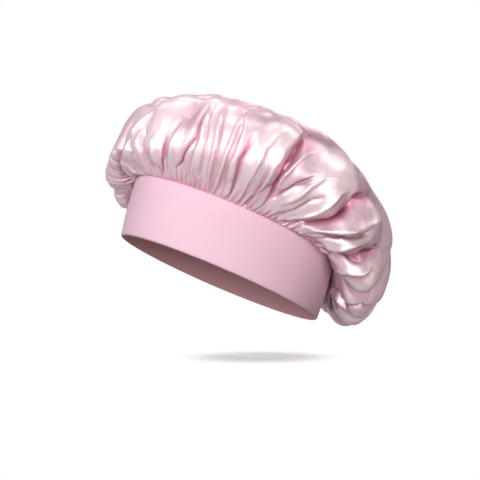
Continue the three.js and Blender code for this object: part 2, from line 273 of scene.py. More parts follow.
# The photograph's camera: azimuth, elevation and roll in degrees, distance and place in the picture
CAMERA_AZIMUTH, CAMERA_ELEVATION, CAMERA_ROLL = 84.0, -9.5, 23.0
CAMERA_DISTANCE, CAMERA_CLIP_START = 820.0, 10.0
SENSOR_WIDTH = 36.0
PIXELS_WIDE, FOCAL_PIXELS = 480, 853.0
RIM_CENTRE_PIXEL = (219.0, 278.7)

# Lamps: metres to the camera's right, up and back from the bonnet, size in metres, watts, colour
LAMP_TARGET = (0.0, 0.0, 0.08)
LAMPS = {
    "key_lamp": ((-0.50, 0.45, 1.05), 0.70, 10.3, (1.0, 0.98, 1.0)),
    "fill_lamp": ((0.50, -0.12, 1.05), 0.60, 3.8, (1.0, 0.91, 0.83)),
    "top_lamp": ((-0.20, 1.25, 0.25), 0.45, 2.8, (1.0, 0.97, 0.97)),
    "side_lamp": ((0.80, 1.00, 0.25), 0.40, 2.4, (1.0, 0.96, 0.94)),
    "back_lamp": ((0.30, 0.55, -1.10), 0.60, 3.5, (1.0, 0.97, 0.97)),
}
# Light from below and from above, apart from the lamps
UNDER_LIGHT, OVER_LIGHT = (0.15, 0.10, 0.085), (0.20, 0.19, 0.19)

# The floor: its tip towards the camera in degrees, its place under the bonnet, where its shade fades,
# and how brightly the shaded part shows by itself
FLOOR_TIP = 3.0
FLOOR_NAPEWARDS, FLOOR_DROP = 38.0, 58.0
FLOOR_RADIUS, FLOOR_RINGS, FLOOR_SPOKES = 300.0, 6, 96
FLOOR_FADE = (30.0, 85.0)
FLOOR_GLOW = 0.29

WHITE, BLACK = (1.0, 1.0, 1.0), (0.0, 0.0, 0.0)


def smooth(value, start, end):
    """0 up to start, 1 from end, with a soft change between."""
    t = np.clip((value - start) / (end - start), 0.0, 1.0)
    return t * t * (3.0 - 2.0 * t)


def round_the_head(angle, values):
    """A size that changes from forehead to near side, nape and far side."""
    front, near, back, far = values
    c, s = np.cos(angle), np.sin(angle)
    return (front * np.clip(c, 0, None) ** 2 + near * np.clip(s, 0, None) ** 2
            + back * np.clip(-c, 0, None) ** 2 + far * np.clip(-s, 0, None) ** 2)


def oval_point(angle, length, width, y, z):
    """A point of a level oval round the head."""
    return np.stack([width / 2 * np.sin(angle), y - length / 2 * np.cos(angle), z + 0 * angle], -1)


def band_point(angle, inward, height):
    """A point of the band, inward from its outer face."""
    up = height / BAND_HEIGHT
    return oval_point(angle,
                      RIM_LENGTH + BAND_LENGTH_GAIN * up - 2 * inward,
                      RIM_WIDTH - BAND_WIDTH_LOSS * up - 2 * inward,
                      -RIM_SET_FORWARD - BAND_FORWARD_LEAN * up, height)


def bezier(a, b, c, d, t):
    return a * (1 - t) ** 3 + 3 * b * t * (1 - t) ** 2 + 3 * c * t * t * (1 - t) + d * t ** 3


def crown_point(angle, share):
    """The crown without its folds, from the seam at share 0 to the top at share 1."""
    angle, share = np.broadcast_arrays(angle, share)
    pull = lambda values, turn=angle: round_the_head(turn, values)[..., None]
    up = np.array([0.0, 0.0, 1.0])
    seam = band_point(angle, -SATIN_OFF_KNIT, BAND_HEIGHT)
    widest = oval_point(angle, CROWN_LENGTH, CROWN_WIDTH, 0.0, round_the_head(angle, WIDEST_LINE))
    top = np.array([0.0, -CROWN_TOP_SET_FORWARD, CROWN_HEIGHT - SATIN_UNDER_TOP]) + 0 * seam
    outward = widest - seam
    outward[..., 2] = 0
    outward /= np.linalg.norm(outward, axis=-1, keepdims=True)
    brow = angle + np.radians(BROW_TURN) * np.clip(np.cos(angle), 0, None) ** 2
    leave = np.radians(pull(LEAVE_SEAM, brow))
    off_seam = outward * np.cos(leave) + up * np.sin(leave)
    low = np.clip(share / WIDEST_SHARE, 0, 1)[..., None]
    high = np.clip((share - WIDEST_SHARE) / (1 - WIDEST_SHARE), 0, 1)[..., None]
    first_pull = seam + off_seam * pull(SEAM_PULL, brow)
    under = bezier(seam, first_pull, widest - up * pull(UNDER_PULL, brow), widest, low)
    level = oval_point(angle, CROWN_LENGTH, CROWN_WIDTH, 0.0, 0.0)
    level /= np.linalg.norm(level, axis=-1, keepdims=True)
    over = bezier(widest, widest + up * pull(OVER_PULL), top + level * pull(TOP_PULL), top, high)
    return np.where(share[..., None] < WIDEST_SHARE, under, over)


def walked_along(points):
    """The way walked along points, from 0 at the first."""
    steps = np.linalg.norm(np.diff(points, axis=0), axis=-1)
    return np.concatenate([np.zeros_like(steps[:1]), np.cumsum(steps, axis=0)])


def even_angles(count):
    """Angles at even steps along the seam."""
    turn = np.linspace(0, 2 * np.pi, SEAM_STEPS + 1)
    walked = walked_along(band_point(turn, 0, BAND_HEIGHT))
    return np.interp(np.arange(count) / count * walked[-1], walked, turn)


def outward_of(rows):
    """The directions out of a cloth's face."""
    round_way = np.roll(rows, -1, 1) - np.roll(rows, 1, 1)
    up_way = np.gradient(rows, axis=0)
    out = np.cross(round_way, up_way)
    return out / (np.linalg.norm(out, axis=-1, keepdims=True) + 1e-12)


def smooth_crown(angles, shares):
    """The unfolded crown at even shares of its length, its outward directions, and each column's length."""
    fine = np.linspace(0, 1, CURVE_STEPS + 1)
    curve = crown_point(angles[None, :], fine[:, None])
    walked = walked_along(curve)
    rows = np.empty((len(shares), len(angles), 3))
    for i in range(len(angles)):
        for k in range(3):
            rows[:, i, k] = np.interp(shares * walked[-1, i], walked[:, i], curve[:, i, k])
    return rows, outward_of(rows), walked[-1]


def row_shares(count):
    """Rows lie closer together at the seam, where the gathers are."""
    t = np.linspace(0, 1, count)
    return LAST_ROW_SHARE * (EVEN_ROWS_SHARE * t + CROWDED_ROWS_SHARE * t * t)


def turn_between(angle, centre):
    """Degrees from the centre to the angle, the short way round."""
    return (angle - centre + 180.0) % 360.0 - 180.0


def off_line(angle, share, path, mm_per_degree, mm_per_share):
    """Distance in millimetres from a crease's line, with its sign, and how far along the line that is."""
    nearest = np.full(angle.shape, np.inf)
    side = np.zeros(angle.shape)
    along = np.zeros(angle.shape)
    steps = len(path) - 1
    for i, ((s0, a0), (s1, a1)) in enumerate(zip(path[:-1], path[1:])):
        px, py = turn_between(angle, a0) * mm_per_degree, (share - s0) * mm_per_share
        dx, dy = turn_between(a1, a0) * mm_per_degree, (s1 - s0) * mm_per_share
        t = np.clip((px * dx + py * dy) / (dx * dx + dy * dy), 0, 1)
        ox, oy = px - dx * t, py - dy * t
        gap = np.hypot(ox, oy)
        closer = gap < nearest
        nearest = np.where(closer, gap, nearest)
        side = np.where(closer, np.sign(ox * dy - oy * dx), side)
        along = np.where(closer, (i + t) / steps, along)
    return nearest * side, along


def fan_at(seam_angle, share):
    """How many degrees a fold has turned round the head, a share of the way up."""
    a = np.radians(seam_angle)
    return (FOLD_LEAN * np.sin(a) - FOLD_FAN * np.sin(2 * a)) * share * (1 - share)


def chance_folds(chance):
    """Creases and ridges that rise from the seam at uneven steps round the head."""
    folds = []
    for family in FOLD_FAMILIES:
        step = 360.0 / family["count"]
        for i in range(family["count"]):
            centre = i * step + chance.uniform(-FOLD_STRAY, FOLD_STRAY) * step
            end = chance.uniform(*family["ends"])
            lean = chance.uniform(-FOLD_SLANT, FOLD_SLANT) * end
            bend = chance.uniform(-FOLD_BEND, FOLD_BEND) * end
            scale = chance.uniform(*FOLD_HEIGHT_SHARES)
            if abs(turn_between(centre, NEAR_SIDE)) < NEAR_SIDE_REACH:
                scale *= family["near_share"]
            wide = chance.uniform(*FOLD_WIDTH_SHARES)
            steep = chance.choice((-1, 1))
            path = []
            for part in FOLD_PATH_SHARES:
                fanned = centre + float(fan_at(centre, end * part))
                path.append((end * part, fanned + lean * part + 4 * bend * part * (1 - part)))
            folds.append({"path": path, "depth": -family["height"] * scale,
                          "width": family["width"] * wide, "steep": steep})
    return folds


def main_folds(turn, share):
    """The main folds: round crests between sharp valleys, none at the seam and none past their reach."""
    seam_angle = turn
    for _ in range(FAN_ROUNDS):
        seam_angle = 0.5 * (seam_angle + turn - fan_at(seam_angle, share))
    seam_angle = seam_angle % 360.0
    rise = np.zeros_like(turn)
    start = 0.0
    for tens, depth, reach in MAIN_FOLDS:
        wide = MAIN_FOLD_UNIT * tens
        across = np.clip((seam_angle - start) / wide, 0, 1)
        inside = (seam_angle >= start) & (seam_angle < start + wide)
        plump = np.sqrt(np.clip(1 - share / reach, 0, 1)) * (1 - smooth(share, *MAIN_FOLD_FADE))
        crest = np.sin(np.pi * across) ** MAIN_FOLD_ROUNDNESS - MAIN_FOLD_SINK
        rise = np.where(inside, MAIN_FOLD_DEPTH * depth * crest * plump, rise)
        start += wide
    return rise


def ripples(columns, shares, chance):
    """Soft patches of high and low cloth, on a slanted net whose lines wave, so that no line shows."""
    height = np.zeros((len(shares), columns))
    at, share = np.meshgrid(np.arange(columns) / columns, shares)
    for around, upward, amount in RIPPLES:
        patches = chance.normal(size=(upward + 4, around))
        x = at * around + RIPPLE_SLANT * share + 0.5 * np.sin(9 * share + 14 * np.pi * at)
        y = share * upward + 1.0 + 0.5 * np.sin(10 * np.pi * at) + 0.4 * np.sin(34 * np.pi * at + 6 * share)
        i, j = np.floor(x).astype(int), np.floor(y).astype(int)
        u, v = smooth(x - i, 0, 1), smooth(y - j, 0, 1)
        low = patches[j, i % around] * (1 - u) + patches[j, (i + 1) % around] * u
        high = patches[j + 1, i % around] * (1 - u) + patches[j + 1, (i + 1) % around] * u
        height += amount * (low * (1 - v) + high * v)
    return height


def mounds(places, turn, share, mm_per_degree, mm_per_share):
    """The height of soft round mounds over the cloth."""
    height = np.zeros_like(turn)
    for at, centre, tall, half_length, half_width in places:
        y = (share - at) * mm_per_share / half_length
        x = turn_between(turn, centre) * mm_per_degree / half_width
        height += tall * np.exp(-x * x - y * y)
    return height


def press_crease(crease, rise, draw, turn, share, mm_per_degree, mm_per_share):
    """Presses one crease into the cloth, or raises a ridge, and draws the cloth together at a crease."""
    ends = [at for _, at in crease["path"]]
    first, last = min(ends), max(ends)
    near = np.abs(turn_between(turn[0], (first + last) / 2)) < (last - first) / 2 + FOLD_SPREAD
    away, along = off_line(turn[:, near], share[:, near], crease["path"],
                           mm_per_degree[:, near], mm_per_share[:, near])
    from_seam = crease["path"][0][0] < FROM_SEAM
    strength = (1.0 if from_seam else smooth(along, *FOLD_SWELL)) * (1 - smooth(along, *FOLD_FADE))
    width = crease["width"] * (WIDTH_AT_START + WIDTH_GAIN * along)
    steep_side = np.sign(away) == crease["steep"]
    reach = width * np.where(steep_side, STEEP_REACH, GENTLE_REACH)
    cusp = crease.get("cusp", USUAL_CUSP)
    rise[:, near] -= crease["depth"] * strength * np.exp(-np.abs(away / reach) ** cusp)
    if crease["depth"] > 0:
        draw[:, near] -= CREASE_DRAW * strength * away * np.exp(-(away / (CREASE_DRAW_REACH * width)) ** 2)
        over = np.exp(-((np.abs(away) - width) / width) ** 2) * smooth(np.abs(away), 0, LAP_START * width)
        lap = crease["steep"] * crease.get("lap", USUAL_LAP)
        draw[:, near] -= lap * crease["depth"] * strength * steep_side * over


def level_of(rise):
    """The mean height round about, so that the folds stay on the crown's own shape."""
    wave = np.fft.rfft(rise, axis=1)
    wave[:, LEVEL_WAVES:] = 0
    return np.fft.irfft(wave, rise.shape[1], axis=1)


def drawn_and_raised(even, outward, turn, shifted, rise):
    """The even crown's points shifted round the head and raised."""
    folded = np.empty_like(even)
    for j in range(len(turn)):
        place = np.concatenate([turn[j] - 360, turn[j], turn[j] + 360])
        for k in range(3):
            line = np.interp(shifted[j], place, np.tile(even[j, :, k], 3))
            way = np.interp(shifted[j], place, np.tile(outward[j, :, k], 3))
            folded[j, :, k] = line + way * rise[j]
    return folded


def lay_folds(angles, shares, fullness):
    """The crown with its folds, the even crown, its outward directions and the depth of its hollows."""
    chance = np.random.default_rng(FOLD_CHANCE)
    even, outward, lengths = smooth_crown(angles, shares)
    turn, share = np.meshgrid(np.degrees(angles), shares)
    ring = np.linalg.norm(np.roll(even, -1, 1) - even, axis=2).sum(1)
    mm_per_degree = (ring / 360.0)[:, None] + 0 * turn
    mm_per_share = lengths[None, :] + 0 * turn
    places = (turn, share, mm_per_degree, mm_per_share)
    rise = np.zeros_like(turn)
    draw = np.zeros_like(turn)
    ridges = [{**ridge, "depth": -ridge["depth"]} for ridge in NAMED_RIDGES]
    for crease in (*NAMED_CREASES, *ridges, *chance_folds(chance)):
        press_crease(crease, rise, draw, *places)
    hollow_depth_and_shade = mounds(HOLLOWS, *places)
    rise += mounds(PUFFS, *places) - hollow_depth_and_shade
    uneven = ripples(len(angles), shares, chance)
    rise += uneven * smooth(share, *RIPPLE_START) * (1 - smooth(share, *RIPPLE_FADE))
    rise -= level_of(rise)
    rise = (rise + main_folds(turn, share)) * fullness
    rise *= sum(part * smooth(share, start, end) for part, start, end in SEAM_RISE)
    draw *= smooth(share, *DRAW_RISE)
    return drawn_and_raised(even, outward, turn, turn + draw / mm_per_degree, rise), even, outward, hollow_depth_and_shade


def with_top(rows):
    """All the points of rows that close in one point at the top."""
    return np.concatenate([rows.reshape(-1, 3), rows[-1].mean(0)[None]])


def cloth_mesh(name, rows, closed_top=True):
    """A mesh through rows of points, closed round the head."""
    count, columns = rows.shape[:2]
    points = (with_top(rows) if closed_top else rows.reshape(-1, 3)) * MM
    i = np.arange(columns)
    k = (i + 1) % columns
    faces = []
    for low in range(0, (count - 1) * columns, columns):
        high = low + columns
        faces += np.stack([low + i, low + k, high + k, high + i], -1).tolist()
    if closed_top:
        low = (count - 1) * columns
        faces += np.stack([low + i, low + k, np.full(columns, count * columns)], -1).tolist()
    mesh = bpy.data.meshes.new(name)
    mesh.from_pydata(points.tolist(), [], faces)
    mesh.update()
    mesh.shade_smooth()
    return placed_piece(name, mesh)


def placed_piece(name, data):
    """An object for a mesh, a curve, a lamp or a camera, put in the scene."""
    piece = bpy.data.objects.new(name, data)
    bpy.context.scene.collection.objects.link(piece)
    return piece


def settling_satin(start, cut):
    """The cloth that settles: held at its seam, with the cut's own lengths and air behind it."""
    piece = cloth_mesh("satin_settling", start)
    columns = start.shape[1]
    held = piece.vertex_groups.new(name="seam")
    for j in range(HELD_ROWS):
        held.add(list(range(j * columns, (j + 1) * columns)), 1.0 - j / HELD_ROWS, 'REPLACE')
    piece.shape_key_add(name="start")
    key = piece.shape_key_add(name="cut")
    key.data.foreach_set("co", (with_top(cut) * MM).ravel())
    # A weld that joins nothing stands before the cloth, so that the cut's lengths reach it
    passes_the_cut = piece.modifiers.new("keep", 'WELD')
    passes_the_cut.merge_threshold = 0.0
    cloth = piece.modifiers.new("satin", 'CLOTH')
    for setting, value in CLOTH_SETTINGS.items():
        setattr(cloth.settings, setting, value)
    cloth.settings.vertex_group_mass = "seam"
    cloth.settings.rest_shape_key = key
    cloth.settings.effector_weights.gravity = 0
    cloth.point_cache.frame_start, cloth.point_cache.frame_end = 1, CLOTH_STEPS + 1
    return piece


def settled_rows(piece, shape):
    """The rows of the cloth after its steps; the cloth itself is taken away."""
    scene = bpy.context.scene
    scene.frame_start, scene.frame_end = 1, CLOTH_STEPS + 1
    for step in range(1, CLOTH_STEPS + 1):
        scene.frame_set(step)
    settled = bpy.data.meshes.new_from_object(piece.evaluated_get(bpy.context.evaluated_depsgraph_get()))
    points = np.empty(len(settled.vertices) * 3)
    settled.vertices.foreach_get("co", points)
    bpy.data.objects.remove(piece, do_unlink=True)
    bpy.data.meshes.remove(settled)
    scene.frame_set(1)
    return points.reshape(-1, 3)[:-1].reshape(shape) / MM


def settle(start, cut, outward, shares):
    """How far the satin moves as it settles, softened and limited."""
    travel = settled_rows(settling_satin(start, cut), start.shape) - start
    for _ in range(CLOTH_SOFTENING):
        travel = (np.roll(travel, 1, 1) + np.roll(travel, -1, 1) + 2 * travel) / 4
        travel[1:-1] = (travel[:-2] + travel[2:] + 2 * travel[1:-1]) / 4
    travel -= outward * level_of((travel * outward).sum(2))[..., None]
    far = np.linalg.norm(travel, axis=2, keepdims=True)
    most = SEAM_CLOTH_TRAVEL + CLOTH_TRAVEL_GAIN * smooth(shares, *CLOTH_TRAVEL_RISE)[:, None, None]
    return travel * np.minimum(1.0, most / (far + 1e-9))


def next_along(rows, closed):
    """The rows moved on by one; past an open end the cloth goes straight on."""
    last = rows[:1] if closed else 2 * rows[-1:] - rows[-2:-1]
    return np.concatenate([rows[1:], last])


def between(rows, closed):
    """Twice as many points along the first axis, on smooth curves through the old ones."""
    before = next_along(rows[::-1], closed)[::-1]
    after = next_along(rows, closed)
    middle = (9 * (rows + after) - before - next_along(after, closed)) / 16
    out = np.empty((2 * len(rows),) + rows.shape[1:])
    out[0::2], out[1::2] = rows, middle
    return out if closed else out[:-1]


def finer(rows):
    """Rows and columns with one more between each two."""
    rows = between(rows, False)
    return between(rows.transpose(1, 0, 2), True).transpose(1, 0, 2)


def crisper(rows, shares):
    """Sharpens the crease lines, round the head only."""
    soft = rows
    for _ in range(CRISP_PASSES):
        soft = (np.roll(soft, CRISP_STEP, 1) + np.roll(soft, -CRISP_STEP, 1) + 2 * soft) / 4
    amount = CRISPNESS * smooth(shares, *CRISP_START) * (1 - smooth(shares, *CRISP_END))
    return rows + (rows - soft) * amount[:, None, None]


def chance_waves(chance, angles, counts, low, high):
    """Waves of several counts round the head, each with its own chance height and shift."""
    return sum(chance.uniform(low, high) * np.sin(k * angles + chance.uniform(0, WAVE_SHIFT)) for k in counts)


def add_gathers(rows, shares, angles):
    """The tight little gathers along the seam, unevenly spaced and unevenly high."""
    chance = np.random.default_rng(GATHER_CHANCE)
    turn, share = np.meshgrid(angles, shares)
    wander = chance_waves(chance, turn, (2, 3, 5, 7, 11), 0.3, 1.0)
    loud = 0.75 + 0.25 * np.sin(23 * turn + 2 * np.sin(7 * turn))
    wave = np.sin(GATHERS["count"] * turn + GATHERS["wander"] * wander)
    wave = np.sign(wave) * np.abs(wave) ** GATHERS["roundness"]
    fade = smooth(share, *GATHER_START) * (1 - smooth(share, *GATHER_FADE))
    return rows + outward_of(rows) * (GATHERS["depth"] * loud * fade * wave)[..., None]


def mark(piece, name, values, at_top):
    """A value or a direction at each point of the mesh, for the materials."""
    kind, key = ('FLOAT', "value") if values.ndim == 2 else ('FLOAT_VECTOR', "vector")
    layer = piece.data.attributes.new(name, kind, 'POINT')
    layer.data.foreach_set(key, np.append(values.ravel(), at_top))


def corner_points(mesh):
    """The number of the point at each corner of each face."""
    corner = np.empty(len(mesh.loops), dtype=np.int64)
    mesh.loops.foreach_get("vertex_index", corner)
    return corner


def lay_cut_map(mesh, flat):
    """A UV map in metres, from where each corner lay on the flat cut."""
    uv = mesh.uv_layers.new(name="cut")
    uv.data.foreach_set("uv", flat.ravel())


def flat_satin(angles, shares):
    """Where each point of the crown lay on the oval cut, whose middle is the top."""
    out = (1 - shares)[:, None]
    across = SATIN_CUT[0] / 2 * np.sin(angles)[None, :] * out
    along = -SATIN_CUT[1] / 2 * np.cos(angles)[None, :] * out
    return np.concatenate([np.stack([across, along], -1).reshape(-1, 2), [[0.0, 0.0]]])


def make_crown():
    """The satin crown: laid with its folds, settled, sharpened, and gathered at the seam."""
    angles, shares = even_angles(CROWN_COLUMNS), row_shares(CROWN_ROWS)
    rows, even, outward, hollow_depth_and_shade = lay_folds(angles, shares, 1.0)
    cut = lay_folds(angles[::2], shares[::2], CUT_FULLNESS)[0]
    rows += finer(settle(rows[::2, ::2], cut, outward[::2, ::2], shares[::2]))
    plain = crisper(rows, shares)
    rows = add_gathers(plain, shares, angles)
    piece = cloth_mesh("satin_crown_cloth", rows)
    # Painted shade for the satin: deep in the valleys and gathers, paler on the crests, and a dark line at
    # the seam
    height = ((rows - even) * outward).sum(2) + GATHER_PAINTED_SHADE * ((rows - plain) * outward).sum(2)
    height -= SEAM_PAINTED_SHADE * (1 - smooth(shares, 0.0, SEAM_PAINTED_SHADE_END))[:, None]
    mark(piece, "fold_painted_shade", np.clip(0.5 + height / PAINTED_SHADE_RANGE, 0, 1), 0.5)
    # Painted shade in the hollows, as a mask from their depth
    mark(piece, "hollow_depth_and_shade", np.clip(hollow_depth_and_shade / DARKEST_HOLLOW, 0, 1), 0.0)
    turn, share = np.meshgrid(angles, shares)
    closing = np.minimum(1.0, (1 - share) / TOP_CLOSING)
    place = np.stack([np.sin(turn) * closing, -np.cos(turn) * closing, share], -1)
    mark(piece, "round_and_up", place, (0.0, 0.0, 1.0))
    lay_cut_map(piece.data, flat_satin(angles, shares)[corner_points(piece.data)])
    piece.data.materials.append(satin())
    return piece


def band_profile():
    """The strip's path from its outer raw edge down, round the fold and up inside: (inward, height)."""
    path = [(inward, BAND_HEIGHT + rise) for inward, rise in OUTER_EDGE]
    path += [(0.0, h) for h in np.linspace(BAND_HEIGHT - BELOW_SEAM, FOLD_TOP, OUTER_ROWS)]
    path += FOLD_CORNER
    path += [(BAND_DEPTH - inward, h) for inward, h in reversed(FOLD_CORNER)]
    path += [(BAND_DEPTH, h) for h in np.linspace(FOLD_TOP, BAND_HEIGHT, INNER_ROWS)]
    return path + [(BAND_DEPTH - INNER_EDGE_TURN, BAND_HEIGHT + RAW_EDGE_RISE)]


def band_rows(profile, angles):
    """The strip along its path; the outer ply bulges a little, and puckers at the seam."""
    chance = np.random.default_rng(KNIT_CHANCE)
    pucker = chance_waves(chance, angles, (29, 41, 67, 88), 0.2, 1.0)
    soft = sum(np.sin(k * angles + chance.uniform(0, WAVE_SHIFT)) for k in (3, 5, 8))
    rows = []
    for inward, height in profile:
        outer = inward < BAND_DEPTH / 2
        near_seam = math.exp(-((height - BAND_HEIGHT) / PUCKER_HEIGHT) ** 2)
        bulge = BAND_BULGE * math.sin(math.pi * min(1.0, max(0.0, height / BAND_HEIGHT)))
        uneven = pucker * BAND_UNEVENNESS * near_seam + soft * BAND_UNEVENNESS * (1 - near_seam)
        push = inward - (uneven + bulge) * outer
        point = band_point(angles, 0.0, height)
        across = band_point(angles, 1.0, height) - point
        rows.append(point + across * push[:, None])
    return np.array(rows)


def make_band():
    """One strip of knit, folded double along its bottom edge, with its raw edges inside the crown."""
    profile = band_profile()[::-1]
    rows = band_rows(profile, even_angles(BAND_COLUMNS))
    piece = cloth_mesh("knit_band_strip", rows, closed_top=False)
    row, column = np.divmod(corner_points(piece.data), BAND_COLUMNS)
    beside_last = (np.roll(column, 1) == BAND_COLUMNS - 1) | (np.roll(column, -1) == BAND_COLUMNS - 1)
    past_join = (column == 0) & beside_last
    along = np.where(past_join, KNIT_CUT[1], column / BAND_COLUMNS * KNIT_CUT[1])
    across = walked_along(np.array(profile)) * MM
    lay_cut_map(piece.data, np.stack([along, across[row]], -1))
    piece.data.materials.append(knit())
    return piece


def thread_piece(name, paths, thickness, material):
    """Thread along one or more lines of points, in millimetres."""
    curve = bpy.data.curves.new(name, 'CURVE')
    curve.dimensions = '3D'
    curve.bevel_depth = thickness / 2 * MM
    curve.bevel_resolution = 1
    for points, cyclic in paths:
        places = np.concatenate([np.asarray(points) * MM, np.ones((len(points), 1))], 1)
        spline = curve.splines.new('POLY')
        spline.points.add(len(points) - 1)
        spline.points.foreach_set("co", places.ravel())
        spline.use_cyclic_u = cyclic
    curve.materials.append(material)
    return placed_piece(name, curve)


def make_overlock(material):
    """Loops of thread round the raw edges of the seam, inside the crown."""
    way = np.linspace(0, 2 * np.pi, OVERLOCK_STITCHES * STITCH_STEPS, endpoint=False) * OVERLOCK_STITCHES
    middle = BAND_DEPTH / 2
    inward = middle - (middle + OVERLOCK_PAST_PLY) * np.cos(way)
    above = OVERLOCK_MIDDLE + OVERLOCK_HALF * np.sin(way)
    points = band_point(even_angles(len(way)), inward, BAND_HEIGHT)
    points[:, 2] += above
    return thread_piece("overlock_lacing", [(points, True)], OVERLOCK_THREAD, material)


def make_nape_stitches(material):
    """The row of stitches that closes the strip into a ring, on the inner ply at the nape."""
    paths = []
    for height in np.arange(NAPE_ROW_ENDS, BAND_HEIGHT - NAPE_ROW_ENDS, NAPE_STITCH_STEP):
        slant = []
        for t in np.linspace(0, 1, 6):
            angle = np.array(math.pi + NAPE_STITCH_HALF_TURN * (2 * t - 1))
            inward = BAND_DEPTH + NAPE_STITCH_HUMP * math.sin(math.pi * t)
            slant.append(band_point(angle, inward, height + NAPE_STITCH_RISE * t))
        paths.append((slant, False))
    return thread_piece("nape_join_stitches", paths, NAPE_THREAD, material)


# Materials: small helpers, two shared groups, then one function for each material and its parts

def feed(tree, socket, value):
    """Gives a socket a plain value, or links another node's output to it."""
    if isinstance(value, bpy.types.NodeSocket):
        tree.links.new(value, socket)
    else:
        socket.default_value = value


def fed_node(tree, kind, values):
    """A node with its inputs given by name."""
    node = tree.nodes.new(kind)
    for label, value in values.items():
        feed(tree, node.inputs[label], value)
    return node


def number(tree, operation, *values, clamp=False):
    """The result of a sum with plain values and other nodes' outputs."""
    node = tree.nodes.new('ShaderNodeMath')
    node.operation, node.use_clamp = operation, clamp
    for socket, value in zip(node.inputs, values):
        feed(tree, socket, value)
    return node.outputs[0]


def remap(tree, value, start, end, low=0.0, high=1.0, way='LINEAR'):
    """The range from start to end made into the range from low to high, and no further."""
    node = fed_node(tree, 'ShaderNodeMapRange', {"Value": value, "From Min": start, "From Max": end,
                                                 "To Min": low, "To Max": high})
    node.interpolation_type = way
    return node.outputs["Result"]


def blended(tree, way, factor, colour, other):
    """Two colours mixed; each is a plain colour or another node's output."""
    node = tree.nodes.new('ShaderNodeMix')
    node.data_type, node.blend_type = 'RGBA', way
    for label, value in (("Factor", factor), ("A", colour), ("B", other)):
        feed(tree, node.inputs[label], value)
    return node.outputs["Result"]


def ramp(tree, value, *stops):
    """A colour for each value, from stops of (value, colour)."""
    node = fed_node(tree, 'ShaderNodeValToRGB', {"Fac": value})
    bar = node.color_ramp
    while len(bar.elements) < len(stops):
        bar.elements.new(0.5)
    for element, (at, colour) in zip(bar.elements, stops):
        element.position, element.color = at, (*colour, 1)
    return node.outputs["Color"]


def marked(tree, name, output="Fac"):
    """What a mesh has marked at its points."""
    node = tree.nodes.new('ShaderNodeAttribute')
    node.attribute_name = name
    return node.outputs[output]


def flat_place(tree):
    """The place on the flat cut, in metres along and across it."""
    node = tree.nodes.new('ShaderNodeUVMap')
    node.uv_map = "cut"
    return parts_of(tree, node.outputs["UV"])


def parts_of(tree, vector):
    return fed_node(tree, 'ShaderNodeSeparateXYZ', {"Vector": vector}).outputs


def stretched_noise(tree, place, scale, values):
    scaled = fed_node(tree, 'ShaderNodeMapping', {"Vector": place, "Scale": scale})
    noise = {"Vector": scaled.outputs["Vector"], "Scale": 1.0, **values}
    return fed_node(tree, 'ShaderNodeTexNoise', noise).outputs["Fac"]


def bumped(tree, height, strength, tall):
    """A normal from a height, which is so many millimetres tall at most."""
    values = {"Height": height, "Strength": strength, "Distance": tall * MM}
    return fed_node(tree, 'ShaderNodeBump', values).outputs["Normal"]


def new_group(name, inputs, output):
    """A shader group with named numbers going in and one coming out."""
    group = bpy.data.node_groups.new(name, 'ShaderNodeTree')
    for label, value in inputs.items():
        made = group.interface.new_socket(name=label, in_out='INPUT', socket_type='NodeSocketFloat')
        made.default_value = value
    group.interface.new_socket(name=output, in_out='OUTPUT', socket_type='NodeSocketFloat')
    return group, group.nodes.new('NodeGroupInput').outputs, group.nodes.new('NodeGroupOutput').inputs


def uneven_dye():
    """Group: a soft change of tone over the cloth, 0 to 1."""
    group, given, out = new_group("uneven_dye", {"Patch Size": 20.0, "Contrast": 1.0}, "Tone")
    place = group.nodes.new('ShaderNodeTexCoord').outputs["Object"]
    patches = {"Vector": place, "Scale": given["Patch Size"], "Detail": 3.0}
    noise = fed_node(group, 'ShaderNodeTexNoise', patches).outputs["Fac"]
    centred = number(group, 'SUBTRACT', noise, 0.5)
    feed(group, out["Tone"], number(group, 'MULTIPLY_ADD', centred, given["Contrast"], 0.5, clamp=True))
    return group


def yarn_rows():
    """Group: the height of fine yarns that run and cross on the flat cut."""
    counts = {"Yarns Per Metre": 2500.0, "Crossings Per Metre": 1200.0}
    group, given, out = new_group("yarn_rows", counts, "Height")
    place = flat_place(group)
    waves = []
    for way, count in zip(("X", "Y"), counts):
        turns = number(group, 'MULTIPLY', place[way], given[count])
        waves.append(number(group, 'SINE', number(group, 'MULTIPLY', turns, 2 * math.pi)))
    feed(group, out["Height"], number(group, 'MULTIPLY_ADD', waves[1], 0.5, waves[0]))
    return group


def from_group(tree, group, output, values):
    """The output of a shared group, placed with a material's own values."""
    node = tree.nodes.new('ShaderNodeGroup')
    node.node_tree = group
    for label, value in values.items():
        feed(tree, node.inputs[label], value)
    return node.outputs[output]


def new_material(name, colour, finish):
    """A material with a plain colour and finish, its node tree and its shader."""
    material = bpy.data.materials.new(name)
    material.use_nodes = True
    material.diffuse_color = (*colour, 1)
    shader = material.node_tree.nodes["Principled BSDF"]
    for label, value in {"Base Color": (*colour, 1), **finish}.items():
        shader.inputs[label].default_value = value
    return material, material.node_tree, shader


def satin_painted_shade(tree, place):
    """Where painted shade darkens the satin: in the hollows, and in soft patches at the nape and on the far
    side, which stand in for shade and dark reflections.
    """
    # Painted shade: soft noise patches towards the nape and on the far side, together with the hollows
    folds = stretched_noise(tree, place, (4.5, 4.5, 3.0), {"Detail": 2.0, "Distortion": 1.2})
    amount = remap(tree, folds, 0.44, 0.60, low=0.25)
    parts = parts_of(tree, place)
    napewards = remap(tree, parts["Y"], -0.2, 0.5, high=0.75)
    farwards = remap(tree, parts["X"], 0.5, 0.2, high=0.5)
    either = number(tree, 'MAXIMUM', napewards, farwards)
    patches = number(tree, 'MULTIPLY', amount, either)
    return number(tree, 'MAXIMUM', patches, marked(tree, "hollow_depth_and_shade"))


